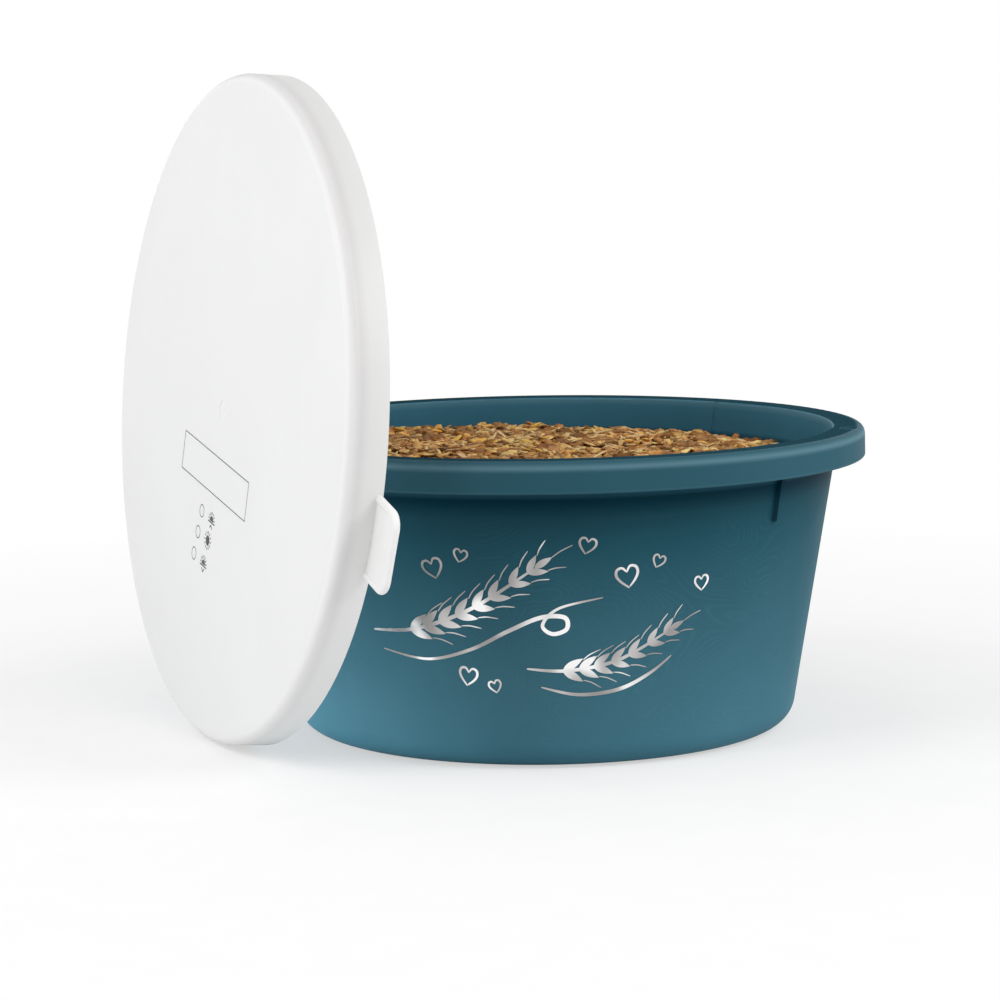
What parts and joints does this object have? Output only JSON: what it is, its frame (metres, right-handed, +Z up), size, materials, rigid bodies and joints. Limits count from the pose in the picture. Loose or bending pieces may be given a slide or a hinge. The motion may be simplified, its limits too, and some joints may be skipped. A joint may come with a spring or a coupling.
{
  "type": "feed bowl",
  "caption": "Round tapered feed bowl filled with grain mix, with a turned-down rim band; its press-on lid with a pull ear stands on edge against the rim.",
  "frame": {"origin": "on the floor, under the middle of the box around the bowl and its standing lid", "axes": "+Z up along the bowl's axis, -Y towards the bowl's front, +X to the right as seen from the front, away from the lid"},
  "size_m": [0.3422, 0.3292, 0.2903],
  "materials": {
    "bowl_plastic": "satin",
    "lid_plastic": "satin",
    "grain_mix": "rough"
  },
  "bodies": {
    "bowl_body": {"bowl": "bowl_plastic", "feed": "grain_mix"},
    "lid_body": {"lid": "lid_plastic"}
  },
  "joints": [
    {"name": "lid_lift", "type": "slide", "parent": "bowl_body", "child": "lid_body", "axis": [-0.6409, -0.2988, 0.7071], "range_m": [0, 0.2]}
  ]
}
